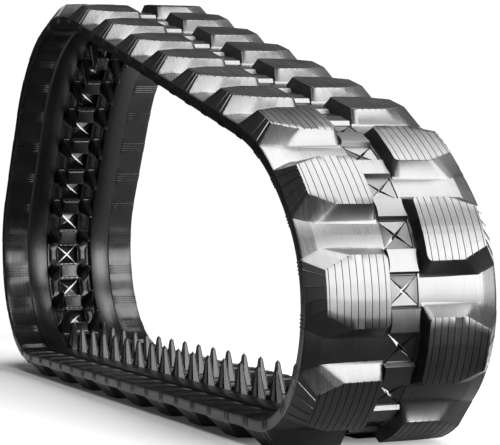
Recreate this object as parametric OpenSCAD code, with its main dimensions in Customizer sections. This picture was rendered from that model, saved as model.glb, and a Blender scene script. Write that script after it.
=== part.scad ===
// Endless rubber crawler track for a compact loader, standing loose on its lower run.
// A loop of equal links is built from steel cores, two steel cord bands, a fabric ply and
// layers of rubber. The loop is divided at four bending lines, so that it can lean.

/* [Belt] */
// Number of links around the loop, an even number because the lugs alternate
links = 52; // [48:2:56]
// Distance from one link to the next, along the cord line
pitch = 86; // [80:1:92]
// Width of the belt
belt_width = 320; // [300:5:400]
// Rubber from the cord line out to the ground face
outer_depth = 8; // [6:0.5:12]
// Rubber from the cord line in to the side margins
margin_depth = 17; // [15:0.5:22]
// Rubber from the cord line in to the roller paths
path_depth = 21; // [18:0.5:28]
// Rubber from the cord line in to the floor of the middle channel
channel_depth = 11; // [10:0.5:14]
// Width of each raised roller path
path_width = 45; // [30:1:55]
// Width of the middle channel between the roller paths
channel_width = 108; // [106:1:124]

/* [Loop outline] */
// Length of the lower run between its two corner points
lower_length = 2310; // [2200:10:2400]
// Corner point of the far upper bend, along the loop
upper_left_x = 547; // [520:1:600]
// Corner point of the far upper bend, above the lower cord line
upper_left_z = 826; // [780:1:860]
// Corner point of the near upper bend, along the loop
upper_right_x = 1960; // [1930:1:1970]
// Corner point of the near upper bend, above the lower cord line
upper_right_z = 446; // [440:1:500]
// Radius of the near lower bend
lower_right_radius = 206; // [180:1:208]
// Radius of the far lower bend
lower_left_radius = 241; // [200:1:280]
// Radius of the far upper bend
upper_left_radius = 444; // [380:1:500]
// Radius of the near upper bend
upper_right_radius = 425; // [350:1:430]
// Link station at which the near lower bend begins
bend_station = 1.6; // [1.4:0.05:2]

/* [Windows and drive bars] */
// Width of the drive windows across the belt
window_width = 46; // [40:1:48]
// Length of the drive windows along the belt
window_length = 44; // [36:1:46]
// Thickness of the rubber web that closes a window
web_thickness = 2.5; // [1.5:0.5:4]
// Height of the web above the cord line
web_height = 3; // [2:0.5:4]
// Width of the cross slits in a web
slit = 1.2; // [0.8:0.1:2]
// Width of the opening between the two inner rubber halves, which the drive bars bridge
bar_span = 40; // [36:1:42]
// Length of a drive bar along the belt, with its rubber
bar_length = 40; // [38:1:42]
// Depth of a drive bar inward from the cord line
bar_depth = 18; // [17:0.5:22]

/* [Steel cores] */
// Length of a core along the belt
core_length = 34; // [28:1:35]
// Width of a core over its two wings
core_span = 210; // [190:2:230]
// Thickness of a core wing
wing_thickness = 5; // [3:0.5:5]
// Depth of the wing's outer face below the cord line
wing_cover = 4.5; // [4:0.5:5]
// Rubber between a drive bar's steel and its faces
bar_skin = 2; // [1.5:0.5:3]
// Radius at the root of the steel inside a guide horn
horn_root_radius = 8; // [6:0.5:9]
// Radius at the top of the steel inside a guide horn
horn_top_radius = 5; // [3:0.5:5]
// Height of the steel inside a guide horn, from the cord line
horn_steel_height = 48; // [40:1:52]

/* [Steel cords and fabric] */
// Thickness of the steel cord bands
cord_thickness = 3; // [2:0.5:3.5]
// Distance from the middle of the belt to a cord band
cord_start = 42; // [36:1:46]
// Rubber between a cord band and the belt's edge
cord_edge_cover = 10; // [8:1:16]
// Thickness of the fabric ply
ply_thickness = 0.8; // [0.6:0.1:1.2]
// Rubber between the fabric ply and the belt's edge
ply_edge_cover = 6; // [4:1:10]
// Rubber between the fabric ply and a window
ply_window_cover = 1; // [0.8:0.1:3]

/* [Guide horns] */
// Height of a guide horn from the cord line
horn_height = 69; // [60:1:76]
// Channel floor between a drive bar and a horn's foot
horn_bar_gap = 2; // [1:0.5:4]
// Channel floor between a horn's foot and the roller path
horn_path_gap = 3; // [1:0.5:5]
// Length of a horn at its foot, along the belt
horn_foot_length = 43; // [36:1:46]
// Width of a horn at its shoulder
horn_shoulder_width = 16; // [14:1:20]
// Length of a horn at its shoulder
horn_shoulder_length = 22; // [18:1:28]
// Width and length of a horn's blunt tip
horn_tip_size = 6; // [4:1:10]
// Share of the horn's height at which its shoulder lies
horn_shoulder_share = 0.65; // [0.55:0.05:0.75]
// Share of the horn's height at which its tip starts to round off
horn_rounding_share = 0.9; // [0.85:0.01:0.95]

/* [Tread lugs] */
// Height of the lugs above the ground face
lug_height = 24; // [16:1:32]
// Distance from the middle of the belt to a lug's inner foot
lug_inner_foot = 28; // [28:1:34]
// Run of a lug's steep inner flank
lug_inner_run = 5; // [3:1:10]
// Run of a lug's sloping outer flank
lug_outer_run = 23; // [14:1:30]
// Length of a lug's foot along the belt
lug_foot_length = 129; // [110:1:138]
// Length of a lug's top along the belt
lug_top_length = 96; // [80:1:108]
// Length of a lug's foot at the belt's edge
lug_edge_foot_length = 98; // [70:1:108]
// Length of a lug's top at its outer edge
lug_edge_top_length = 58; // [40:1:78]
// Distance from the middle of the belt to the start of the corner cuts on a lug's top
lug_cut_start = 94; // [80:1:110]
// Width of the pads between the windows
pad_width = 54; // [48:1:55]
// Length of the pads between the windows
pad_length = 34; // [28:1:38]
// Height of the pads above the ground face
pad_height = 7; // [3:0.5:12]

/* [Bending lines] */
// Most that the loop bends at each of its four lines, each way, in degrees
flex_limit = 7; // [3:0.5:8]
// Gap between two sections at the cord line
line_gap = 1; // [0.8:0.1:2]
// The same gap at the one line that no hinge closes, the far lower one
open_line_gap = 4; // [3:0.5:6]
// Stations of the four bending lines after the near upper one, which is one link before station 0
line_stations = [5, 24, 30]; // [1:60]

/* [Hidden] */

rubber = [0.10, 0.10, 0.11];
worn_rubber = [0.16, 0.16, 0.17];
web_rubber = [0.22, 0.22, 0.23];
steel = [0.42, 0.43, 0.45];
cord_steel = [0.62, 0.58, 0.48];
fabric = [0.50, 0.46, 0.38];

half_width = belt_width / 2;
half_cord = cord_thickness / 2;
path_inner = channel_width / 2;
path_outer = path_inner + path_width;
horn_foot_width = path_inner - bar_span / 2 - horn_bar_gap - horn_path_gap;
horn_offset = path_inner - horn_path_gap - horn_foot_width / 2;
lug_top = outer_depth + lug_height;
ply_start = window_width / 2 + ply_window_cover;

// Links that a layer, a roller path and a groove run on past a bending line before they are cut
// back there. They differ, so that no two end faces lie in one plane.
run_on = 0.2;
path_run_on = 0.25;
groove_run_on = 0.3;

// Slope that the V gap at a bending line has over its half bend, and how far cuts reach.
line_room_share = 1.05;
cut_past = 1;
cut_reach = 100;
outer_reach = lug_top + 10;
inner_reach = horn_height + 10;

// Differences in stations and degrees below these count as none.
same_station = 0.001;
same_heading = 0.01;

// The two sides of the belt: near is -Y and far is +Y.
NEAR = -1;
FAR = 1;

// The four sections, each as its first and last bending line.
BOTTOM = [line_stations[0], line_stations[1]];
LEFT = [line_stations[1], line_stations[2]];
TOP = [line_stations[2], links - 1];
RIGHT = [links - 1, links + line_stations[0]];

// The outline is a four-cornered figure with round corners, followed clockwise seen from the
// near side, and scaled so that its length is exactly the links' length.
drawn_corners = [
    [lower_length, 0],
    [0, 0],
    [upper_left_x, upper_left_z],
    [upper_right_x, upper_right_z]
];
drawn_radii = [lower_right_radius, lower_left_radius, upper_left_radius, upper_right_radius];
corner_count = len(drawn_corners);

function side_vector(i) = drawn_corners[(i + 1) % corner_count] - drawn_corners[i % corner_count];
function side_heading(i) = atan2(side_vector(i)[1], side_vector(i)[0]);
function turn_from(a, b) = (a - b + 720) % 360;
function corner_turn(i) = turn_from(side_heading(i + corner_count - 1), side_heading(i));
function tangent_length(i) =
    drawn_radii[i % corner_count] * tan(corner_turn(i % corner_count) / 2);
function drawn_straight(i) = norm(side_vector(i)) - tangent_length(i) - tangent_length(i + 1);
function drawn_arc(i) = drawn_radii[i] * corner_turn(i) * PI / 180;
function sum(list, i = 0) = i >= len(list) ? 0 : list[i] + sum(list, i + 1);

drawn_length = sum([for (i = [0:corner_count - 1]) drawn_arc(i) + drawn_straight(i)]);
loop_length = links * pitch;
loop_scale = loop_length / drawn_length;
corners = drawn_corners * loop_scale;
radii = drawn_radii * loop_scale;
arc_lengths = [for (i = [0:corner_count - 1]) drawn_arc(i) * loop_scale];
straights = [for (i = [0:corner_count - 1]) drawn_straight(i) * loop_scale];
bend_starts = [
    for (i = [0:corner_count - 1])
        sum([for (j = [0:1:i - 1]) arc_lengths[j] + straights[j]])
];

// Unit vectors along a heading and out of the loop.
function along(heading) = [cos(heading), sin(heading)];
function outward(heading) = [-sin(heading), cos(heading)];
function bend_heading(i) = side_heading(i + corner_count - 1);
function bend_start(i) =
    corners[i] - along(bend_heading(i)) * tangent_length(i) * loop_scale;
function bend_centre(i) = bend_start(i) - outward(bend_heading(i)) * radii[i];

// Point and heading of the cord line at a distance s past the first bend's start.
function in_bend(s, i) = s < bend_starts[i] + arc_lengths[i];
function which_bend(s, i = corner_count - 1) =
    (i == 0 || s >= bend_starts[i]) ? i : which_bend(s, i - 1);
function heading_in(s, i) =
    bend_heading(i) - min(1, (s - bend_starts[i]) / arc_lengths[i]) * corner_turn(i);
function point_in(s, i) =
    in_bend(s, i)
        ? bend_centre(i) + outward(heading_in(s, i)) * radii[i]
        : bend_centre(i) + outward(heading_in(s, i)) * radii[i]
            + along(heading_in(s, i)) * (s - bend_starts[i] - arc_lengths[i]);
function wrap(value, span) = value - span * floor(value / span);
function distance_at(t) = wrap((t - bend_station) * pitch, loop_length);
function heading_at(t) = heading_in(distance_at(t), which_bend(distance_at(t)));
function point_at(t) = point_in(distance_at(t), which_bend(distance_at(t)));

// The origin lies on the ground, below the middle of the loop's length.
origin_x = (bend_centre(1)[0] - radii[1] + bend_centre(0)[0] + radii[0]) / 2;
origin = [origin_x, -lug_top];

// The belt is made of short flats, four to a link. A knot is a joint between two flats.
knots_per_link = 4;
knot_count = links * knots_per_link;
knot_points = [for (k = [0:knot_count - 1]) point_at(k / knots_per_link) - origin];
knot_headings = [for (k = [0:knot_count - 1]) heading_at(k / knots_per_link)];
function knot(k, h) =
    knot_points[wrap(k, knot_count)] + outward(knot_headings[wrap(k, knot_count)]) * h;
function knot_turns(k) =
    let (change = turn_from(knot_headings[wrap(k - 1, knot_count)],
                            knot_headings[wrap(k + 1, knot_count)]))
    min(change, 360 - change) > same_heading;

// Point of the belt at station t, at height h out from the cord line.
function belt_point(t, h) =
    let (k = floor(t * knots_per_link + same_station / 1000), f = t * knots_per_link - k)
    knot(k, h) * (1 - f) + knot(k + 1, h) * f;

// Line of points at height h from station t0 to t1, with the knots where the belt turns.
function belt_line(t0, t1, h) = concat(
    [belt_point(t0, h)],
    [
        for (k = [ceil(t0 * knots_per_link + same_station):1:floor(t1 * knots_per_link - same_station)])
            if (knot_turns(k)) knot(k, h)
    ],
    [belt_point(t1, h)]
);
function reversed(list) = [for (i = [len(list) - 1:-1:0]) list[i]];

// Flat side-view shape drawn in X and Z, given a width along Y.
module across(y0, y1) {
    translate([0, max(y0, y1), 0]) rotate([90, 0, 0]) linear_extrude(abs(y1 - y0)) children();
}

// One layer of the belt, between stations t0 and t1, heights h0 and h1, and widths y0 and y1.
module layer(t0, t1, h0, h1, y0, y1) {
    across(y0, y1)
        polygon(concat(belt_line(t0, t1, h1), reversed(belt_line(t0, t1, h0))));
}

// A section's layers run on past its two bending lines, and trimmed() cuts them back there.
module section_layer(section, h0, h1, y0, y1, run = run_on) {
    layer(section[0] - run, section[1] + run, h0, h1, y0, y1);
}

// Room that a section leaves at the bending line at station t, at height h. Its end face leans
// back from the cord line both ways, so that the gap is a V towards the ground face and the inside.
function gap_at(t) = t == line_stations[1] ? open_line_gap : line_gap;
function line_room(t, h) = gap_at(t) / 2 + abs(h) * tan(flex_limit / 2) * line_room_share;
function line_point(t, direction, h) =
    knot(t * knots_per_link, h)
        + along(knot_headings[wrap(t * knots_per_link, knot_count)]) * direction * line_room(t, h);

// All that lies on the other side of the bending line at station t, for a section on the side
// where direction points.
module past_line(t, direction) {
    away = -direction * cut_reach * along(knot_headings[wrap(t * knots_per_link, knot_count)]);
    outer = line_point(t, direction, outer_reach);
    inner = line_point(t, direction, -inner_reach);
    across(-belt_width, belt_width)
        polygon([outer, line_point(t, direction, 0), inner, inner + away, outer + away]);
}

module trimmed(section) {
    difference() {
        union() children();
        past_line(section[0], 1);
        past_line(section[1], -1);
    }
}

// Frame of a link station: X along the belt and Z out of the loop.
module at_station(t) {
    place = point_at(t) - origin;
    translate([place[0], 0, place[1]]) rotate([0, -heading_at(t), 0]) children();
}

module block(x0, x1, y0, y1, z0, z1) {
    translate([x0, y0, z0]) cube([x1 - x0, y1 - y0, z1 - z0]);
}

// Stations of the cores, half way between the windows, and of the windows.
function core_stations(section) = [section[0] + 0.5:1:section[1] - 0.5];
function window_stations(section) = [section[0]:1:section[1]];

// ---- Steel cores: a drive bar, two wings and the steel inside two guide horns ----

module core_wings() {
    block(-core_length / 2, core_length / 2, -core_span / 2, core_span / 2,
          -wing_cover - wing_thickness, -wing_cover);
}

// The bar runs on by past at both ends where it is cut out of its rubber.
module core_bar(past = 0) {
    block(-bar_length / 2 + bar_skin, bar_length / 2 - bar_skin,
          -bar_span / 2 - past, bar_span / 2 + past, -bar_depth + bar_skin, -bar_skin);
}

module core_horns() {
    foot = wing_cover + wing_thickness / 2;
    for (side = [NEAR, FAR])
        translate([0, side * horn_offset, -horn_steel_height])
            cylinder(h = horn_steel_height - foot, r1 = horn_top_radius, r2 = horn_root_radius,
                     $fn = 32);
}

module cores(section) {
    color(steel)
        for (t = core_stations(section))
            at_station(t) {
                core_wings();
                core_bar();
                core_horns();
            }
}

// ---- Steel cord bands, one on each side, that carry the pull of the track ----

module cord_band(section, side) {
    color(cord_steel)
        trimmed(section)
            section_layer(section, -half_cord, half_cord,
                          side * cord_start, side * (half_width - cord_edge_cover));
}

// ---- Fabric ply on each side, over the cords ----

module fabric_ply(section) {
    color(fabric)
        trimmed(section)
            for (side = [NEAR, FAR])
                section_layer(section, half_cord, half_cord + ply_thickness,
                              side * ply_start, side * (half_width - ply_edge_cover));
}

// ---- Inner rubber: margin, roller path and channel floor of one side ----

module inner_rubber(section, side) {
    middle = side * bar_span / 2;
    color(rubber)
        trimmed(section)
            difference() {
                union() {
                    section_layer(section, -margin_depth, half_cord, side * half_width, middle);
                    section_layer(section, -path_depth, 0, side * path_outer, side * path_inner,
                                  path_run_on);
                }
                section_layer(section, -inner_reach, -channel_depth,
                              side * path_inner, -middle, groove_run_on);
                section_layer(section, -half_cord, half_cord + cut_past, side * cord_start,
                              side * (half_width - cord_edge_cover), groove_run_on);
                for (t = core_stations(section))
                    at_station(t) {
                        core_wings();
                        core_horns();
                    }
            }
}

// ---- Rubber around the drive bars ----

module bar_covers(section) {
    reach = bar_length / 2 / pitch;
    color(rubber)
        for (t = core_stations(section))
            difference() {
                layer(t - reach, t + reach, -bar_depth, half_cord, -bar_span / 2, bar_span / 2);
                at_station(t) core_bar(cut_past);
            }
}

// ---- Outer rubber: the ground face of the belt, with the drive windows ----

module window_cut() {
    block(-window_length / 2, window_length / 2, -window_width / 2, window_width / 2,
          -outer_depth - half_cord, outer_depth + half_cord);
}

module outer_rubber(section) {
    color(rubber)
        trimmed(section)
            difference() {
                section_layer(section, half_cord, outer_depth, -half_width, half_width);
                for (side = [NEAR, FAR])
                    section_layer(section, half_cord - cut_past, half_cord + ply_thickness,
                                  side * ply_start, side * (half_width - ply_edge_cover),
                                  groove_run_on);
                for (t = window_stations(section)) at_station(t) window_cut();
            }
}

// ---- Window webs: thin rubber, slit corner to corner into four flaps ----

module web() {
    angle = atan2(window_width, window_length);
    reach = norm([window_length, window_width]) + slit;
    translate([0, 0, web_height])
        linear_extrude(web_thickness)
            difference() {
                square([window_length, window_width], center = true);
                for (turn = [-angle, angle]) rotate(turn) square([reach, slit], center = true);
            }
}

module window_webs(section) {
    color(web_rubber)
        trimmed(section)
            for (t = window_stations(section)) at_station(t) web();
}

// ---- Centre pads between the windows, on the ground face ----

module center_pads(section) {
    foot = pad_length / 2 / pitch;
    top = (pad_length / 2 - pad_height / 2) / pitch;
    color(worn_rubber)
        for (t = core_stations(section))
            across(-pad_width / 2, pad_width / 2)
                polygon(concat(belt_line(t - foot, t + foot, outer_depth),
                               reversed(belt_line(t - top, t + top, outer_depth + pad_height))));
}

// Triangles of the band between one ring of size points and the next, in a stack of rings.
function band(row, size) = [
    for (i = [0:size - 1])
        let (a = row * size + i, b = row * size + (i + 1) % size)
        each [[a, b, b + size], [a, b + size, a + size]]
];

// ---- Guide horns: tapered rubber over the steel, in two rows ----

horn_levels = [
    [channel_depth, horn_foot_length, horn_foot_width],
    [horn_height * horn_shoulder_share, horn_shoulder_length, horn_shoulder_width],
    [horn_height * horn_rounding_share, (horn_shoulder_length + horn_tip_size) / 2,
     (horn_shoulder_width + horn_tip_size) / 2],
    [horn_height, horn_tip_size, horn_tip_size]
];

// Six points around a horn at one level: both corners at the start, the middle and the end.
function horn_ring(t, level) = [
    for (corner = [[-1, -1], [0, -1], [1, -1], [1, 1], [0, 1], [-1, 1]])
        let (place = belt_point(t + corner[0] * level[1] / 2 / pitch, -level[0]))
        [place[0], horn_offset + corner[1] * level[2] / 2, place[1]]
];

module horn_rubber(t) {
    points = [for (level = horn_levels) each horn_ring(t, level)];
    last = (len(horn_levels) - 1) * 6;
    polyhedron(points, concat([[5, 4, 1, 0], [4, 3, 2, 1]],
                              [for (row = [0:len(horn_levels) - 2]) each band(row, 6)],
                              [[last, last + 1, last + 4, last + 5],
                               [last + 1, last + 2, last + 3, last + 4]]));
}

module horns(section, side) {
    color(rubber)
        mirror([0, side == NEAR ? 1 : 0, 0])
            for (t = core_stations(section))
                difference() {
                    horn_rubber(t);
                    at_station(t) core_horns();
                }
}

// ---- Tread lugs: six-sided blocks, every second window on each side ----

function sorted(list) =
    len(list) < 2 ? list :
    let (pivot = list[0])
    concat(sorted([for (v = list) if (v < pivot) v]), [pivot],
           sorted([for (v = list) if (v > pivot) v]));

// The corner cuts run the same way at the foot as on the top, so that their faces are flat.
lug_cut_slope =
    (lug_top_length - lug_edge_top_length) / (half_width - lug_outer_run - lug_cut_start);
lug_foot_cut_start = half_width - (lug_foot_length - lug_edge_foot_length) / lug_cut_slope;
foot_end = lug_foot_length / 2 / pitch;
foot_edge = lug_edge_foot_length / 2 / pitch;
top_end = lug_top_length / 2 / pitch;
top_edge = lug_edge_top_length / 2 / pitch;
lug_step_gap = 0.01;
lug_steps = sorted(concat([-foot_end, -foot_edge, foot_edge, foot_end],
    [
        for (k = [-knots_per_link:knots_per_link])
            let (t = k / knots_per_link)
            if (abs(t) < foot_end - lug_step_gap && abs(abs(t) - foot_edge) > lug_step_gap) t
    ]));

// Share of the way along the corner cut, station of the top and widths at foot station u.
function cut_share(u) = max(0, (abs(u) - foot_edge) / (foot_end - foot_edge));
function top_station(u) =
    abs(u) <= foot_edge ? u * top_edge / foot_edge
                        : sign(u) * (top_edge + (top_end - top_edge) * cut_share(u));
function blend(a, b, share) = a * (1 - share) + b * share;
function lug_row(t, u) =
    let (foot = belt_point(t + u, outer_depth),
         top = belt_point(t + top_station(u), lug_top),
         cut = cut_share(u))
    [
        [foot[0], lug_inner_foot, foot[1]],
        [foot[0], blend(half_width, lug_foot_cut_start, cut), foot[1]],
        [top[0], blend(half_width - lug_outer_run, lug_cut_start, cut), top[1]],
        [top[0], lug_inner_foot + lug_inner_run, top[1]]
    ];

module lug(t) {
    last = len(lug_steps) * 4 - 4;
    polyhedron([for (u = lug_steps) each lug_row(t, u)],
               concat([[3, 2, 1, 0]], [for (row = [0:len(lug_steps) - 2]) each band(row, 4)],
                      [[last, last + 1, last + 2, last + 3]]));
}

// The near side has its lugs at odd windows, the far side at even ones. A bending line halves
// the lug that it meets.
module lugs(section, side) {
    parity = side == NEAR ? 1 : 0;
    color(worn_rubber)
        trimmed(section)
            mirror([0, side == NEAR ? 1 : 0, 0])
                for (t = window_stations(section))
                    if (t % 2 == parity) lug(t);
}

cores(BOTTOM);  // cores_bottom
cord_band(BOTTOM, NEAR);  // near_cord_bottom
cord_band(BOTTOM, FAR);  // far_cord_bottom
fabric_ply(BOTTOM);  // fabric_ply_bottom
inner_rubber(BOTTOM, NEAR);  // near_inner_rubber_bottom
inner_rubber(BOTTOM, FAR);  // far_inner_rubber_bottom
bar_covers(BOTTOM);  // bar_covers_bottom
outer_rubber(BOTTOM);  // outer_rubber_bottom
lugs(BOTTOM, NEAR);  // near_lugs_bottom
lugs(BOTTOM, FAR);  // far_lugs_bottom
horns(BOTTOM, NEAR);  // near_horns_bottom
horns(BOTTOM, FAR);  // far_horns_bottom
window_webs(BOTTOM);  // window_webs_bottom
center_pads(BOTTOM);  // center_pads_bottom
cores(LEFT);  // cores_left
cord_band(LEFT, NEAR);  // near_cord_left
cord_band(LEFT, FAR);  // far_cord_left
fabric_ply(LEFT);  // fabric_ply_left
inner_rubber(LEFT, NEAR);  // near_inner_rubber_left
inner_rubber(LEFT, FAR);  // far_inner_rubber_left
bar_covers(LEFT);  // bar_covers_left
outer_rubber(LEFT);  // outer_rubber_left
lugs(LEFT, NEAR);  // near_lugs_left
lugs(LEFT, FAR);  // far_lugs_left
horns(LEFT, NEAR);  // near_horns_left
horns(LEFT, FAR);  // far_horns_left
window_webs(LEFT);  // window_webs_left
center_pads(LEFT);  // center_pads_left
cores(TOP);  // cores_top
cord_band(TOP, NEAR);  // near_cord_top
cord_band(TOP, FAR);  // far_cord_top
fabric_ply(TOP);  // fabric_ply_top
inner_rubber(TOP, NEAR);  // near_inner_rubber_top
inner_rubber(TOP, FAR);  // far_inner_rubber_top
bar_covers(TOP);  // bar_covers_top
outer_rubber(TOP);  // outer_rubber_top
lugs(TOP, NEAR);  // near_lugs_top
lugs(TOP, FAR);  // far_lugs_top
horns(TOP, NEAR);  // near_horns_top
horns(TOP, FAR);  // far_horns_top
window_webs(TOP);  // window_webs_top
center_pads(TOP);  // center_pads_top
cores(RIGHT);  // cores_right
cord_band(RIGHT, NEAR);  // near_cord_right
cord_band(RIGHT, FAR);  // far_cord_right
fabric_ply(RIGHT);  // fabric_ply_right
inner_rubber(RIGHT, NEAR);  // near_inner_rubber_right
inner_rubber(RIGHT, FAR);  // far_inner_rubber_right
bar_covers(RIGHT);  // bar_covers_right
outer_rubber(RIGHT);  // outer_rubber_right
lugs(RIGHT, NEAR);  // near_lugs_right
lugs(RIGHT, FAR);  // far_lugs_right
horns(RIGHT, NEAR);  // near_horns_right
horns(RIGHT, FAR);  // far_horns_right
window_webs(RIGHT);  // window_webs_right
center_pads(RIGHT);  // center_pads_right
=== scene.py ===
import bpy
import numpy as np
from mathutils import Matrix


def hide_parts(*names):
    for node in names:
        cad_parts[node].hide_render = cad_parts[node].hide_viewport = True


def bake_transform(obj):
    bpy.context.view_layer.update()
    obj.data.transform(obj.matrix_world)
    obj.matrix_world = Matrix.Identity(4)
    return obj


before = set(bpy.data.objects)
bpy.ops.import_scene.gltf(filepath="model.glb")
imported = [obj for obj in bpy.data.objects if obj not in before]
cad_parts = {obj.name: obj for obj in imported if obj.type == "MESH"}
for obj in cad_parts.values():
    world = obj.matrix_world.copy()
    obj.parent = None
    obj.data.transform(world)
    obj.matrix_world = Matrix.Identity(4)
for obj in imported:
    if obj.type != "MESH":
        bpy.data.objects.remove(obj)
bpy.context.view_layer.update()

# ---- Camera ----
# It stands low beyond the track's rounded near end, a little to the near side, and looks back
# along the loop with a long lens.
camera_data = bpy.data.cameras.new("camera")
camera = bpy.data.objects.new("camera", camera_data)
bpy.context.scene.collection.objects.link(camera)
bpy.context.scene.camera = camera

image_width = 500.0
focal_pixels = 1860.8
sensor_width = 36.0
camera_place = (3.47961, -1.2236, 0.3981)
camera_azimuth = np.radians(68.81)
camera_elevation = np.radians(0.98)
camera_roll = np.radians(-0.836)
camera_data.sensor_width = sensor_width
camera_data.lens = sensor_width * focal_pixels / image_width
camera_data.shift_x = -2.7 / image_width
camera_data.shift_y = 7.35 / image_width
camera_data.clip_end = 200.0

back = np.array([np.sin(camera_azimuth) * np.cos(camera_elevation),
                 -np.cos(camera_azimuth) * np.cos(camera_elevation),
                 np.sin(camera_elevation)])
level_right = np.cross([0.0, 0.0, 1.0], back)
level_right /= np.linalg.norm(level_right)
level_up = np.cross(back, level_right)
right = np.cos(camera_roll) * level_right + np.sin(camera_roll) * level_up
up = -np.sin(camera_roll) * level_right + np.cos(camera_roll) * level_up
camera.matrix_world = Matrix([[*row, place] for row, place in
                              zip(np.array([right, up, back]).T, camera_place)]
                             + [[0, 0, 0, 1]])


# ---- Inner rubber ----
# The inside of the belt, one moulded band on each side of the drive windows: a ribbed margin, a
# raised smooth path for the rollers and a channel floor beside the windows. Natural rubber
# compound, moulded endless, black and satin.
links = 52
pitch = 0.086
half_width = 0.160
channel_floor = -0.011
path_face = -0.021
margin_face = -0.017
layer_split = 0.0015
window_side = 0.0235

# The cord line is a four-cornered outline with round corners, clockwise from the near side.
corners = np.array([(2.310, 0.0), (0.0, 0.0), (0.547, 0.826), (1.960, 0.446)])
radii = np.array([0.206, 0.241, 0.444, 0.425])
bend_station = 1.6
sides = np.roll(corners, -1, axis=0) - corners
headings = np.arctan2(sides[:, 1], sides[:, 0])
turns = (np.roll(headings, 1) - headings) % (2 * np.pi)
tangents = radii * np.tan(turns / 2)
straights = np.hypot(*sides.T) - tangents - np.roll(tangents, -1)
scale = links * pitch / (radii * turns + straights).sum()
corners, radii, tangents, straights = (v * scale for v in (corners, radii, tangents, straights))
arcs = radii * turns
bend_starts = np.concatenate([[0.0], np.cumsum(arcs + straights)[:-1]])
bend_headings = np.roll(headings, 1)
along_bends = np.stack([np.cos(bend_headings), np.sin(bend_headings)], 1)
outward_bends = np.stack([-np.sin(bend_headings), np.cos(bend_headings)], 1)
centres = corners - along_bends * tangents[:, None] - outward_bends * radii[:, None]
ground = 0.032
middle_x = (centres[1, 0] - radii[1] + centres[0, 0] + radii[0]) / 2


def on_belt(t, y, h):
    """Points at station t, width y and height h out of the cord line: the cord line's point is
    the bend's centre plus its radius outward, or the straight past it, and h is added along the
    same outward direction."""
    t, y, h = np.broadcast_arrays(t, y, h)
    run = ((t - bend_station) * pitch) % (links * pitch)
    bend = np.clip(np.searchsorted(bend_starts, run, side="right") - 1, 0, 3)
    share = np.clip((run - bend_starts[bend]) / arcs[bend], 0, 1)
    heading = bend_headings[bend] - share * turns[bend]
    past = np.maximum(0, run - bend_starts[bend] - arcs[bend])
    reach = radii[bend] + h
    x = centres[bend, 0] - np.sin(heading) * reach + np.cos(heading) * past
    z = centres[bend, 1] + np.cos(heading) * reach + np.sin(heading) * past
    return np.stack([x - middle_x, y, z + ground], -1)


def grid_quads(rows, columns, closed=False):
    """Quads of a grid of rows by columns of points, the last column joined to the first if
    closed."""
    index = np.arange(rows * columns).reshape(rows, columns)
    if closed:
        index = np.concatenate([index, index[:, :1]], 1)
    return np.stack([index[:-1, :-1], index[:-1, 1:], index[1:, 1:], index[1:, :-1]],
                    -1).reshape(-1, 4)


def border_of(rows, columns):
    """Numbers of the points round the border of a grid: along its first row, down its last
    column, back along its last row and up its first column."""
    index = np.arange(rows * columns).reshape(rows, columns)
    return np.concatenate([index[0, :-1], index[:-1, -1], index[-1, :0:-1], index[:0:-1, 0]])


def signed_volume(points, faces):
    """Six times the volume inside the faces, as the sum of each fan triangle's box product."""
    total = 0.0
    for face in faces:
        for i in range(1, face.shape[1] - 1):
            a, b, c = points[face[:, 0]], points[face[:, i]], points[face[:, i + 1]]
            total += np.einsum("ij,ij->i", a, np.cross(b, c)).sum()
    return total


# The three lengths of rubber: each spans one bending line, where it turns from one body of the
# loop to the next. First station, last station, bodies before and after, and the line's station.
lengths = {
    "lower": (2, 24, "right_bend", "bottom_run", 5),
    "upper": (40, 54, "top_run", "right_bend", 51),
    "far": (24, 40, "left_bend", "top_run", 30),
}
sections_of = {"lower": ("right", "bottom"), "upper": ("top",), "far": ("left",)}
bend_reach = 0.35
sharp_angle = np.radians(24)


def add_piece(name, length, material, stations, y, h, faces, kinds):
    """A piece of rubber: its points are placed on the belt and its faces turned outwards."""
    points = on_belt(stations, y, h)
    if signed_volume(points, faces) < 0:
        faces = [face[:, ::-1] for face in faces]
    mesh = bpy.data.meshes.new(name)
    mesh.vertices.add(len(points))
    mesh.vertices.foreach_set("co", points.astype(np.float32).ravel())
    corner_points = np.concatenate([face.ravel() for face in faces]).astype(np.int32)
    counts = np.concatenate([np.full(len(face), face.shape[1]) for face in faces])
    mesh.loops.add(len(corner_points))
    mesh.loops.foreach_set("vertex_index", corner_points)
    mesh.polygons.add(len(counts))
    mesh.polygons.foreach_set("loop_start", (np.cumsum(counts) - counts).astype(np.int32))
    mesh.update(calc_edges=True)
    uv = mesh.uv_layers.new(name="belt")
    flat = np.stack([stations * pitch, y], -1)[corner_points]
    uv.data.foreach_set("uv", flat.astype(np.float32).ravel())
    mesh.polygons.foreach_set("use_smooth", np.ones(len(counts), bool))
    mesh.set_sharp_from_angle(angle=sharp_angle)
    mesh.materials.append(material)
    piece = bpy.data.objects.new(f"{name}_{length}", mesh)
    bpy.context.scene.collection.objects.link(piece)
    before, after, line = lengths[length][2:]
    tuple(on_belt(line - bend_reach, 0, 0))
    tuple(on_belt(line + bend_reach, 0, 0))
    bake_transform(piece)
    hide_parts(*[f"{kind}_{s}" for kind in kinds for s in sections_of[length]])


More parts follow.
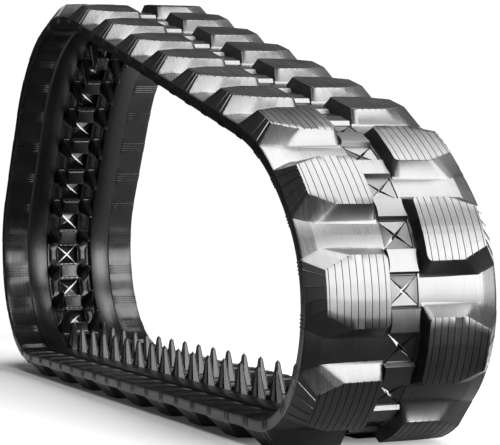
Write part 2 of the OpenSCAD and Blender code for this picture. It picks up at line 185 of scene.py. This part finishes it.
def rubber(name, tone, rough, streak, grain, shine):
    """Black rubber: a tone that varies softly, roughness that varies in streaks along the belt,
    a fine grain and slight waviness as bump, and a specular level of shine."""
    material = bpy.data.materials.new(name)
    material.use_nodes = True
    tree = material.node_tree
    shader = tree.nodes["Principled BSDF"]
    link = tree.links.new
    uv = tree.nodes.new("ShaderNodeUVMap")
    uv.uv_map = "belt"
    stretch = tree.nodes.new("ShaderNodeMapping")
    stretch.inputs["Scale"].default_value = (9, 260, 1)
    link(uv.outputs["UV"], stretch.inputs["Vector"])
    streaks = tree.nodes.new("ShaderNodeTexNoise")
    streaks.inputs["Scale"].default_value = 1.0
    streaks.inputs["Detail"].default_value = 4.0
    link(stretch.outputs["Vector"], streaks.inputs["Vector"])
    place = tree.nodes.new("ShaderNodeTexCoord")
    cloud = tree.nodes.new("ShaderNodeTexNoise")
    cloud.inputs["Scale"].default_value = 14.0
    cloud.inputs["Detail"].default_value = 5.0
    link(place.outputs["Object"], cloud.inputs["Vector"])
    mixed = tree.nodes.new("ShaderNodeMix")
    mixed.data_type = "FLOAT"
    mixed.inputs["Factor"].default_value = 0.45
    link(streaks.outputs["Fac"], mixed.inputs["A"])
    link(cloud.outputs["Fac"], mixed.inputs["B"])
    roughness = tree.nodes.new("ShaderNodeMapRange")
    roughness.inputs["From Min"].default_value = 0.3
    roughness.inputs["From Max"].default_value = 0.7
    roughness.inputs["To Min"].default_value = rough - streak
    roughness.inputs["To Max"].default_value = rough + streak
    link(mixed.outputs["Result"], roughness.inputs["Value"])
    link(roughness.outputs["Result"], shader.inputs["Roughness"])
    colour = tree.nodes.new("ShaderNodeValToRGB")
    colour.color_ramp.elements[0].position = 0.3
    colour.color_ramp.elements[0].color = (tone * 0.75, tone * 0.75, tone * 0.78, 1)
    colour.color_ramp.elements[1].position = 0.75
    colour.color_ramp.elements[1].color = (tone * 1.35, tone * 1.33, tone * 1.33, 1)
    link(cloud.outputs["Fac"], colour.inputs["Fac"])
    link(colour.outputs["Color"], shader.inputs["Base Color"])
    fine = tree.nodes.new("ShaderNodeTexNoise")
    fine.inputs["Scale"].default_value = 900.0
    fine.inputs["Detail"].default_value = 2.0
    link(place.outputs["Object"], fine.inputs["Vector"])
    grain_bump = tree.nodes.new("ShaderNodeBump")
    grain_bump.inputs["Strength"].default_value = grain
    grain_bump.inputs["Distance"].default_value = 0.0004
    link(fine.outputs["Fac"], grain_bump.inputs["Height"])
    wave_bump = tree.nodes.new("ShaderNodeBump")
    wave_bump.inputs["Strength"].default_value = 0.25
    wave_bump.inputs["Distance"].default_value = 0.0012
    link(mixed.outputs["Result"], wave_bump.inputs["Height"])
    link(grain_bump.outputs["Normal"], wave_bump.inputs["Normal"])
    link(wave_bump.outputs["Normal"], shader.inputs["Normal"])
    shader.inputs["Specular IOR Level"].default_value = shine
    return material


belt_rubber = rubber("belt_rubber", 0.0028, 0.30, 0.06, 0.25, 0.25)

# Ribs lie four to a link across the margin and down the belt's edge, over the steel core.
rib_centres = np.array([-0.0096, -0.0032, 0.0032, 0.0096])
rib_edges = np.array([-0.0014, -0.0007, 0.0007, 0.0014])
rib_lines = (rib_centres[:, None] + rib_edges).ravel()
plain_lines = np.array([-0.038, -0.033, -0.0278, -0.022, -0.0165, -0.0125])
link_lines = np.sort(np.concatenate([[-pitch / 2], plain_lines, -plain_lines, rib_lines]))
rib_top_half, rib_rise, edge_rib_rise = 0.001, 0.0011, 0.0008
swell_rise, swell_flatness = 0.0009, 2.5
# First and last point of the cross-section that take the ribs, the edge's ribs and the swell.
rib_points, edge_rib_points, swell_points = (4, 9), (2, 4), (6, 9)


def section_lines(first, last, lines):
    """Stations of all the crossing lines between two stations, each link's lines about its
    middle, and one more at the end."""
    middles = np.arange(first, last) + 0.5
    return np.append((middles[:, None] + lines / pitch).ravel(), last)


def band(name, side, profile, lines, length, shape, kind, material):
    """A closed band: the cross-section profile is carried along the belt's stations, changed by
    shape at each one, and closed by its own outline at both ends."""
    first, last = lengths[length][:2]
    t = section_lines(first, last, lines)[:, None]
    y = np.repeat(profile[None, :, 0], len(t), 0)
    h = np.repeat(profile[None, :, 1], len(t), 0)
    y, h = shape((t % 1 - 0.5) * pitch, y, h)
    rows, columns = y.shape
    walls = grid_quads(rows, columns, closed=True)
    ends = np.stack([np.arange(columns)[::-1], np.arange(columns) + (rows - 1) * columns])
    stations = np.repeat(t, columns, 1).ravel()
    add_piece(name, length, material, stations, side * y.ravel(), h.ravel(),
              [walls, ends], [kind])


inner_profile = np.array([
    (window_side, layer_split), (half_width, layer_split), (half_width, -0.006),
    (half_width, -0.0145), (0.1592, -0.0164), (0.157, margin_face), (0.147, margin_face),
    (0.134, margin_face), (0.121, margin_face), (0.110, margin_face), (0.1025, margin_face),
    (0.0996, -0.0204), (0.098, path_face), (0.077, path_face), (0.057, path_face),
    (0.0552, -0.0204), (0.054, -0.0185), (0.0512, -0.0125), (0.0497, -0.0113),
    (0.047, channel_floor), (0.036, channel_floor), (0.0252, channel_floor),
    (window_side, -0.010)])


def inner_shape(s, y, h):
    """Ribs stand up from the margin and the belt's edge where s is on a rib's top, and the
    margin swells slightly over each core."""
    on_rib = (np.abs(s - rib_centres[None, :]).min(1) < rib_top_half)[:, None]
    column = np.arange(y.shape[1])[None, :]
    ribs, edge_ribs, swollen = ((column >= first) & (column <= last) for first, last in
                                (rib_points, edge_rib_points, swell_points))
    h = h - rib_rise * (on_rib & ribs)
    y = y + edge_rib_rise * (on_rib & edge_ribs)
    swell = swell_rise * np.tanh(swell_flatness * np.cos(2 * np.pi * s / pitch))
    return y, h - swell * swollen


for length in lengths:
    for side, word in ((-1, "near"), (1, "far")):
        band(f"{word}_inner_rubber", side, inner_profile, link_lines, length, inner_shape,
             f"{word}_inner_rubber", belt_rubber)


# ---- Outer rubber ----
# The ground side of the belt: a smooth band on each side of the windows, bevelled down towards
# the belt's edge, on which the tread lugs are moulded.
ground_rubber = rubber("ground_rubber", 0.0042, 0.30, 0.06, 0.2, 0.65)
ground_face = 0.008
outer_profile = np.array([
    (window_side, layer_split), (window_side, 0.0068), (0.0245, ground_face),
    (0.027, ground_face), (0.060, ground_face), (0.100, ground_face), (0.1335, ground_face),
    (0.1355, 0.0077), (0.139, 0.0068), (0.1565, 0.0033), (0.1592, 0.0026), (half_width, 0.0021),
    (half_width, layer_split)])
bare_lines = np.linspace(-pitch / 2, pitch / 2, 13)[:-1]


def plain_shape(s, y, h):
    """The profile unchanged."""
    return y, h


def ground_height(y):
    """Height of the ground side at width y: flat, then down the bevel to the edge."""
    return np.interp(np.abs(y), outer_profile[2:12, 0], outer_profile[2:12, 1])


for length in lengths:
    for side, word in ((-1, "near"), (1, "far")):
        band(f"{word}_outer_rubber", side, outer_profile, bare_lines, length, plain_shape,
             "outer_rubber", ground_rubber)


# ---- Tread lugs ----
# Six-sided rubber blocks, moulded on the ground side in two staggered rows. Each has fine
# sipes along its flat top, sloping ends and cut corners, and ribs on its outer flank.
lug_rubber = rubber("lug_rubber", 0.0046, 0.33, 0.07, 0.35, 0.65)
lug_top = 0.032
lug_inner, lug_outer = 0.033, 0.1363
lug_cut, foot_cut = 0.094, 0.125
lug_half, lug_edge_half = 0.048, 0.029
foot_half, foot_edge_half = 0.0645, 0.049
foot_inner = 0.028
corner_round = 0.008
sipe_depth = 0.0016
sipe_centres = 0.0405 + 0.0115 * np.arange(9)
sipe_edges = np.array([-0.0006, -0.0003, 0.0003, 0.0006])
rib_places = np.linspace(-0.72, 0.72, 4)
flank_rib_edges = np.array([-0.022, -0.010, 0.010, 0.022])
flank_rib_half, flank_rib_rise = 0.015, 0.0008
sipe_floor_half = 0.0004
edge_stand_out = 0.0003


def lug_half_length(y):
    """Half length of the lug's top at width y: even, then shorter along the corner cut, and
    rounded at the inner corner by a circle's quarter."""
    half = np.interp(y, [lug_cut, lug_outer], [lug_half, lug_edge_half])
    into_corner = np.clip(lug_inner + corner_round - y, 0, corner_round)
    return half - corner_round + np.sqrt(corner_round**2 - into_corner**2)


def mound(s_top, y_top, h_top, s_foot, y_foot, rings):
    """A raised block: a grid of top points, and rings round its border. Ring share 0 is the
    top's border and 1 the foot's; each ring has its own height. Gives s, y, h and faces."""
    rows, columns = s_top.shape
    border = border_of(rows, columns)
    top = grid_quads(rows, columns)
    s0, y0 = s_top.ravel()[border], y_top.ravel()[border]
    s1, y1 = s_foot.ravel()[border], y_foot.ravel()[border]
    h0 = h_top.ravel()[border]
    run = np.maximum(np.hypot(s1 - s0, y1 - y0), 1e-6)
    parts_s, parts_y, parts_h, faces = [s_top.ravel()], [y_top.ravel()], [h_top.ravel()], [top]
    count = len(border)
    previous = border
    start = rows * columns
    for share, past, height in rings:
        parts_s.append(s0 + (s1 - s0) * (share + past / run))
        parts_y.append(y0 + (y1 - y0) * (share + past / run))
        parts_h.append(height(h0, parts_y[-1]) + 0 * h0)
        ring = start + np.arange(count)
        faces.append(np.stack([np.roll(previous, -1), previous, ring, np.roll(ring, -1)], 1))
        previous = ring
        start += count
    faces.append(previous[None, ::-1])
    return (np.concatenate(parts_s), np.concatenate(parts_y), np.concatenate(parts_h), faces)


sipe_lines = (sipe_centres[:, None] + sipe_edges).ravel()
round_lines = lug_inner + corner_round * np.array([0.0, 0.04, 0.15, 0.35, 0.65])
lug_y = np.sort(np.concatenate([round_lines, sipe_lines, [lug_cut, 0.1355, lug_outer]]))
lug_u = np.sort(np.concatenate([[-1, 1], (rib_places[:, None] + flank_rib_edges).ravel()]))


def down_to(share, fillet=0.0):
    """Height at a share of the way from the top's edge to the belt's ground side."""
    return lambda h, y: lug_top + (ground_height(y) - lug_top) * share + fillet


lug_rings = [(0.0, 0.0006, lambda h, y: h - 0.0002), (0.07, 0.0, down_to(0.07)),
             (0.9, 0, down_to(0.9)), (1.0, 0.001, down_to(1.0, 0.0009)),
             (1.0, 0.0045, down_to(1.0, -0.0004))]


def lug_block(u_lines):
    """A lug, or the half of one that u_lines cover: s is u times the half length at each width,
    the flank's ribs stand out where u is on a rib, and the foot ends at the belt's edge."""
    top_y, top_u = np.meshgrid(lug_y, u_lines, indexing="ij")
    in_sipe = np.abs(top_y[..., None] - sipe_centres).min(-1) < sipe_floor_half
    foot_y = np.interp(top_y, [lug_inner, lug_cut, lug_outer], [foot_inner, foot_cut, half_width])
    foot_s = top_u * np.interp(foot_y, [foot_cut, half_width], [foot_half, foot_edge_half])
    s, y, h, faces = mound(top_u * lug_half_length(top_y), top_y, lug_top - sipe_depth * in_sipe,
                           foot_s, foot_y, lug_rings)
    on_rib = ((np.abs(top_u[..., None] - rib_places).min(-1) < flank_rib_half)
              & (top_y >= lug_outer))
    rows, columns = top_y.shape
    border = border_of(rows, columns)
    ribbed = np.concatenate([np.zeros(rows * columns + len(border), bool),
                             np.tile(on_rib.ravel()[border], 2),
                             np.zeros(2 * len(border), bool)])
    y = np.minimum(y + flank_rib_rise * ribbed, half_width + edge_stand_out)
    return s, y, h + flank_rib_rise * ribbed, faces


def repeat(s, y, h, faces, stations):
    """The same block at each station: its points are copied and its faces numbered on."""
    count = len(s)
    t = (np.asarray(stations, float)[:, None] + s[None, :] / pitch).ravel()
    many = len(stations)
    steps = np.arange(many) * count
    tiled = [(face[None] + steps[:, None, None]).reshape(-1, face.shape[1]) for face in faces]
    return t, np.tile(y, many), np.tile(h, many), tiled


def joined(blocks):
    """Several blocks as one: their points in a row and their faces numbered on."""
    faces, start = [], 0
    for block_points in blocks:
        faces += [face + start for face in block_points[3]]
        start += len(block_points[0])
    return (*(np.concatenate([b[i] for b in blocks]) for i in range(3)), faces)


whole_lug = lug_block(lug_u)
lug_before = lug_block(np.append(lug_u[lug_u < 0], 0.0))
lug_after = lug_block(np.append(0.0, lug_u[lug_u > 0]))
for length, (first, last, *_) in lengths.items():
    for side, word, parity in ((-1, "near", 1), (1, "far", 0)):
        inside = [t for t in range(first + 1, last) if t % 2 == parity]
        blocks = [repeat(*whole_lug, inside)]
        if first % 2 == parity:
            blocks.append(repeat(*lug_after, [first]))
        if last % 2 == parity:
            blocks.append(repeat(*lug_before, [last]))
        t, y, h, faces = joined(blocks)
        add_piece(f"{word}_lugs", length, lug_rubber, t, side * y, h, faces,
                  [f"{word}_lugs"])

# ---- Guide horns ----
# Two rows of tall rubber cones on the inside, one pair to a core, that keep the track on its
# rollers. Each has a flat on both ends, a nub where the mould was vented, and a low saddle to
# the next one.
horn_offset = 0.0365
horn_levels = np.array([
    (-0.0106, 0.0235, 0.0160), (-0.0122, 0.0214, 0.0144), (-0.0160, 0.0198, 0.0131),
    (-0.0300, 0.0153, 0.0106), (-0.0440, 0.0112, 0.0081), (-0.0540, 0.0085, 0.0064),
    (-0.0610, 0.0067, 0.0053), (-0.0655, 0.0055, 0.0046), (-0.0682, 0.0041, 0.0036),
    (-0.0690, 0.0023, 0.0022), (-0.0694, 0.0012, 0.0012), (-0.0712, 0.0011, 0.0011),
    (-0.0716, 0.0007, 0.0007)])
horn_flat = 0.86
ring_points = 28
around = np.arange(ring_points) * 2 * np.pi / ring_points


def ring_stack(levels, ring_s, ring_y):
    """A closed stack of rings: each is the ring's points times its level's half length and half
    width, at its level's height."""
    h, a, b = (levels[:, i][:, None] for i in range(3))
    s, y = a * ring_s, b * ring_y
    walls = grid_quads(*s.shape, closed=True)
    caps = np.stack([np.arange(ring_points)[::-1],
                     np.arange(ring_points) + (len(levels) - 1) * ring_points])
    return s.ravel(), y.ravel(), (h + 0 * s).ravel(), [walls, caps]


# The horns and saddles are the inner rubber's compound. This copy of it is darker in tone and
# less shiny, a painted shade for the horns inside the loop.
horn_rubber = rubber("horn_rubber", 0.0026, 0.27, 0.05, 0.2, 0.2)
horn_s, horn_y, horn_h, horn_faces = ring_stack(
    horn_levels, np.clip(np.cos(around), -horn_flat, horn_flat), np.sin(around))
saddle_half_s, saddle_half_y, saddle_rise = 0.011, 0.0042, -0.0026
saddle_foot_s, saddle_foot_y = 0.0235, 0.0110
u, v = np.meshgrid(np.linspace(-1, 1, 7), np.linspace(-1, 1, 7), indexing="ij")
saddle_rings = [(0.12, 0, lambda h, y: h - saddle_rise * 0.06),
                (0.95, 0, lambda h, y: channel_floor + saddle_rise * 0.08),
                (1.0, 0.0008, lambda h, y: channel_floor + 0.0004)]
saddle_s, saddle_y, saddle_h, saddle_faces = mound(
    u * saddle_half_s, v * saddle_half_y, np.full(u.shape, channel_floor + saddle_rise),
    u * saddle_foot_s, v * saddle_foot_y, saddle_rings)
for length, (first, last, *_) in lengths.items():
    middles = np.arange(first, last) + 0.5
    gaps = np.arange(first + (length == "far"), last + (length == "lower"))
    for side, word in ((-1, "near"), (1, "far")):
        one = repeat(horn_s, horn_offset + horn_y, horn_h, horn_faces, middles)
        two = repeat(saddle_s, horn_offset + saddle_y, saddle_h, saddle_faces, gaps)
        t, y, h, faces = joined([one, two])
        add_piece(f"{word}_horns", length, horn_rubber, t, side * y, h, faces,
                  [f"{word}_horns"])

# ---- Drive bars ----
# The rubber round each core's steel bar, between the drive windows. Its inner face is a
# rounded bar that the sprocket pushes.
bar_levels = np.array([
    (-0.0180, 0.0135, 0.0175), (-0.0176, 0.0155, 0.0190), (-0.0163, 0.0172, 0.0199),
    (-0.0113, 0.0199, 0.0204), (-0.0108, 0.0213, 0.0240), (0.0015, 0.0215, 0.0240),
    (0.0067, 0.0215, 0.0240), (0.0079, 0.0205, 0.0232)])
bar_roundness = 0.16


def squared(wave):
    """A sine or cosine pushed out towards 1 and -1: its sign times its size to a small power,
    which turns a circle into a rounded square."""
    return np.sign(wave) * np.abs(wave) ** bar_roundness


bar = ring_stack(bar_levels, squared(np.cos(around)), squared(np.sin(around)))
for length, (first, last, *_) in lengths.items():
    t, y, h, faces = repeat(*bar, np.arange(first, last) + 0.5)
    add_piece("drive_bars", length, belt_rubber, t, y, h, faces, ["bar_covers"])

# ---- Centre pads ----
# Low rubber pads on the ground side, between the windows and over the bars, with hollowed sides.
pad_half_length, pad_half_width, pad_rise = 0.0165, 0.0262, 0.007
u, v = np.meshgrid(np.linspace(-1, 1, 9), np.linspace(-1, 1, 9), indexing="ij")
hollow = 1 - 0.09 * (1 - u**2)
pad_rings = [(0.2, 0, lambda h, y: h - 0.0007), (0.92, 0, lambda h, y: h - 0.0062),
             (1.0, 0.0006, lambda h, y: h - 0.0074)]
pad = mound(u * pad_half_length, v * hollow * (pad_half_width - 0.0015),
            np.full(u.shape, ground_face + pad_rise), u * (pad_half_length + 0.002),
            v * hollow * pad_half_width, pad_rings)
for length, (first, last, *_) in lengths.items():
    t, y, h, faces = repeat(*pad, np.arange(first, last) + 0.5)
    add_piece("centre_pads", length, lug_rubber, t, y, h, faces, ["center_pads"])

# ---- Window webs ----
# Thin rubber skins that close the drive windows until a sprocket tooth comes through. Each is
# cut from corner to corner into four flaps that dip and thicken towards the middle.
web_rubber = rubber("web_rubber", 0.0040, 0.31, 0.05, 0.2, 0.5)
web_half_s, web_half_y = 0.0218, 0.0232
web_rim, web_dip = 0.0064, 0.0032
web_thick, web_tip_thick = 0.0025, 0.0095
slit_corner, slit_middle = 0.0007, 0.0048
flap_reach, least_tip_share, dip_power = 0.86, 0.004, 0.8


def flap(turned):
    """One flap: its base lies on a window edge and it narrows to the middle. Inward share a
    goes from base to tip, cross share b from one slit to the other, the slit widens with a
    squared, and the flap thickens from base to tip."""
    a, b = np.meshgrid(np.linspace(0, 1, 6), np.linspace(-1, 1, 5), indexing="ij")
    reach = 1 - flap_reach * a
    slit = slit_corner + (slit_middle - slit_corner) * a**2
    across_share = b * np.maximum(reach - slit / web_half_y, least_tip_share)
    s, y = reach * web_half_s, across_share * web_half_y
    if turned % 2:
        s, y = across_share * web_half_s, reach * web_half_y
    sign = 1 if turned < 2 else -1
    h = web_rim - web_dip * a**dip_power
    below = h - web_thick - (web_tip_thick - web_thick) * a
    rows, columns = a.shape
    shell = np.concatenate([grid_quads(rows, columns),
                            grid_quads(rows, columns)[:, ::-1] + rows * columns])
    border = border_of(rows, columns)
    rim = np.stack([np.roll(border, -1), border, border + rows * columns,
                    np.roll(border, -1) + rows * columns], 1)
    return (np.tile(sign * s.ravel(), 2), np.tile(sign * y.ravel(), 2),
            np.concatenate([h.ravel(), below.ravel()]), [shell, rim])


flaps = [flap(turned) for turned in range(4)]
web_s, web_y, web_h = (np.concatenate([f[i] for f in flaps]) for i in range(3))
flap_size = len(flaps[0][0])
web_faces = []
for number, f in enumerate(flaps):
    turned_faces = [face[:, ::-1] if number % 2 else face for face in f[3]]
    web_faces += [face + number * flap_size for face in turned_faces]
for length, (first, last, *_) in lengths.items():
    stations = np.arange(first + (length == "far"), last + (length == "lower"))
    t, y, h, faces = repeat(web_s, web_y, web_h, web_faces, stations)
    add_piece("window_webs", length, web_rubber, t, y, h, faces, ["window_webs"])

# ---- Steel cores ----
# One forged steel core to a link, bonded inside the rubber: a drive bar, two wings and the steel
# inside the two horns. Dark scale from the forge, slightly pitted.


rough_spread = 0.12


def hidden_finish(name, dark, light, metallic, rough, period):
    """A finish for a part inside the rubber: noise between a dark and a light colour, and under
    it bands across the belt with the given period, which stand up as bump. Wave bands have a
    period of 2 pi over 20 times their scale."""
    material = bpy.data.materials.new(name)
    material.use_nodes = True
    tree = material.node_tree
    shader = tree.nodes["Principled BSDF"]
    shader.inputs["Metallic"].default_value = metallic
    place = tree.nodes.new("ShaderNodeTexCoord")
    spots = tree.nodes.new("ShaderNodeTexNoise")
    spots.inputs["Scale"].default_value = 160.0
    spots.inputs["Detail"].default_value = 6.0
    bands = tree.nodes.new("ShaderNodeTexWave")
    bands.bands_direction = "Y"
    bands.inputs["Scale"].default_value = 2 * np.pi / 20 / period
    bands.inputs["Distortion"].default_value = 0.6
    for texture in (spots, bands):
        tree.links.new(place.outputs["Object"], texture.inputs["Vector"])
    mixed = tree.nodes.new("ShaderNodeMix")
    mixed.data_type = "FLOAT"
    mixed.inputs["Factor"].default_value = 0.5
    tree.links.new(spots.outputs["Fac"], mixed.inputs["A"])
    tree.links.new(bands.outputs["Fac"], mixed.inputs["B"])
    colour = tree.nodes.new("ShaderNodeValToRGB")
    colour.color_ramp.elements[0].position = 0.3
    colour.color_ramp.elements[0].color = (*dark, 1)
    colour.color_ramp.elements[1].position = 0.7
    colour.color_ramp.elements[1].color = (*light, 1)
    tree.links.new(mixed.outputs["Result"], colour.inputs["Fac"])
    tree.links.new(colour.outputs["Color"], shader.inputs["Base Color"])
    roughness = tree.nodes.new("ShaderNodeMapRange")
    roughness.inputs["To Min"].default_value = rough - rough_spread
    roughness.inputs["To Max"].default_value = rough + rough_spread
    tree.links.new(spots.outputs["Fac"], roughness.inputs["Value"])
    tree.links.new(roughness.outputs["Result"], shader.inputs["Roughness"])
    bump = tree.nodes.new("ShaderNodeBump")
    bump.inputs["Strength"].default_value = 0.4
    bump.inputs["Distance"].default_value = 0.0006
    tree.links.new(mixed.outputs["Result"], bump.inputs["Height"])
    tree.links.new(bump.outputs["Normal"], shader.inputs["Normal"])
    return material


def finish_nodes(material, *kinds):
    """Gives the material to the nodes of these kinds in all four sections."""
    for kind in kinds:
        for section in ("bottom", "left", "top", "right"):
            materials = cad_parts[f"{kind}_{section}"].data.materials
            materials.clear()
            materials.append(material)


finish_nodes(hidden_finish("forged_steel", (0.05, 0.05, 0.055), (0.16, 0.155, 0.15), 1.0, 0.5,
                           0.012), "cores")

# ---- Steel cord bands ----
# One band of steel cords on each side, wound side by side along the belt and brass plated so
# that the rubber bonds to them.
finish_nodes(hidden_finish("brass_plated_cord", (0.22, 0.17, 0.08), (0.62, 0.52, 0.30), 1.0, 0.35,
                           0.003), "near_cord", "far_cord")

# ---- Fabric ply ----
# A thin ply of woven polyamide over the cords, dipped so that it bonds to the rubber.
finish_nodes(hidden_finish("woven_ply", (0.18, 0.13, 0.08), (0.36, 0.29, 0.20), 0.0, 0.8, 0.0015),
             "fabric_ply")

# ---- Studio ----
# A round pale floor, a tall wide soft light beyond the far side of the near end, one overhead,
# two weaker ones beside and behind, and a dim room in front of a white backdrop.
floor_middle, floor_radius, floor_fade = -0.6, 1.7, 0.55
rim = np.arange(96) * 2 * np.pi / 96
floor_mesh = bpy.data.meshes.new("floor")
floor_mesh.from_pydata([(floor_middle + floor_radius * np.cos(a), floor_radius * np.sin(a), 0)
                        for a in rim], [], [tuple(range(96))])
floor = bpy.data.objects.new("floor", floor_mesh)
bpy.context.scene.collection.objects.link(floor)
floor_paint = bpy.data.materials.new("floor_paint")
floor_paint.use_nodes = True
paint_shader = floor_paint.node_tree.nodes["Principled BSDF"]
paint_shader.inputs["Base Color"].default_value = (0.42, 0.42, 0.42, 1)
paint_shader.inputs["Roughness"].default_value = 1.0
paint_shader.inputs["Specular IOR Level"].default_value = 0.0
# The paint thins out to nothing over the floor's outer part, so that no edge shows.
floor_tree = floor_paint.node_tree
floor_place = floor_tree.nodes.new("ShaderNodeTexCoord")
floor_distance = floor_tree.nodes.new("ShaderNodeVectorMath")
floor_distance.operation = "DISTANCE"
floor_distance.inputs[1].default_value = (floor_middle, 0, 0)
floor_tree.links.new(floor_place.outputs["Object"], floor_distance.inputs[0])
floor_share = floor_tree.nodes.new("ShaderNodeMapRange")
floor_share.interpolation_type = "SMOOTHSTEP"
floor_share.inputs["From Min"].default_value = floor_radius - floor_fade
floor_share.inputs["From Max"].default_value = floor_radius
floor_tree.links.new(floor_distance.outputs["Value"], floor_share.inputs["Value"])
floor_clear = floor_tree.nodes.new("ShaderNodeBsdfTransparent")
floor_mix = floor_tree.nodes.new("ShaderNodeMixShader")
floor_tree.links.new(floor_share.outputs["Result"], floor_mix.inputs["Fac"])
floor_tree.links.new(paint_shader.outputs["BSDF"], floor_mix.inputs[1])
floor_tree.links.new(floor_clear.outputs["BSDF"], floor_mix.inputs[2])
floor_tree.links.new(floor_mix.outputs["Shader"],
                     floor_tree.nodes["Material Output"].inputs["Surface"])
floor_mesh.materials.append(floor_paint)


def softbox(name, place, target, width, height, radiance):
    """A rectangular light at a place, turned towards a target. Its power is its radiance times
    its area times pi."""
    data = bpy.data.lights.new(name, "AREA")
    data.shape = "RECTANGLE"
    data.size, data.size_y, data.energy = width, height, radiance * width * height * np.pi
    light = bpy.data.objects.new(name, data)
    bpy.context.scene.collection.objects.link(light)
    away = np.array(place, float) - np.array(target, float)
    away /= np.linalg.norm(away)
    sideways = np.cross([0, 0, 1.0], away)
    sideways /= np.linalg.norm(sideways)
    over = np.cross(away, sideways)
    light.matrix_world = Matrix([[*row, p] for row, p in
                                 zip(np.array([sideways, over, away]).T, place)]
                                + [[0, 0, 0, 1]])


softbox("end_light", (3.2, 1.25, 1.4), (0.9, 0.1, 1.0), 2.8, 2.75, 20.0)
softbox("top_light", (1.0, 0.7, 4.4), (0.7, 0.35, 0), 4.2, 3.8, 14.0)
softbox("side_light", (-0.6, -4.2, 1.2), (0, 0, 0.45), 4.0, 1.8, 2.6)
softbox("behind_light", (-2.3, 3.7, 1.3), (0, 0, 0.45), 3.0, 1.8, 4.5)

world = bpy.data.worlds.new("room")
bpy.context.scene.world = world
world.use_nodes = True
tree = world.node_tree
backdrop = tree.nodes["Background"]
backdrop.inputs["Color"].default_value = (1, 1, 1, 1)
backdrop.inputs["Strength"].default_value = 1.05
room = tree.nodes.new("ShaderNodeBackground")
room.inputs["Color"].default_value = (1, 1, 1, 1)
room.inputs["Strength"].default_value = 0.035
ray = tree.nodes.new("ShaderNodeLightPath")
choice = tree.nodes.new("ShaderNodeMixShader")
tree.links.new(ray.outputs["Is Camera Ray"], choice.inputs["Fac"])
tree.links.new(room.outputs["Background"], choice.inputs[1])
tree.links.new(backdrop.outputs["Background"], choice.inputs[2])
tree.links.new(choice.outputs["Shader"], tree.nodes["World Output"].inputs["Surface"])
bpy.context.scene.view_settings.view_transform = "Standard"
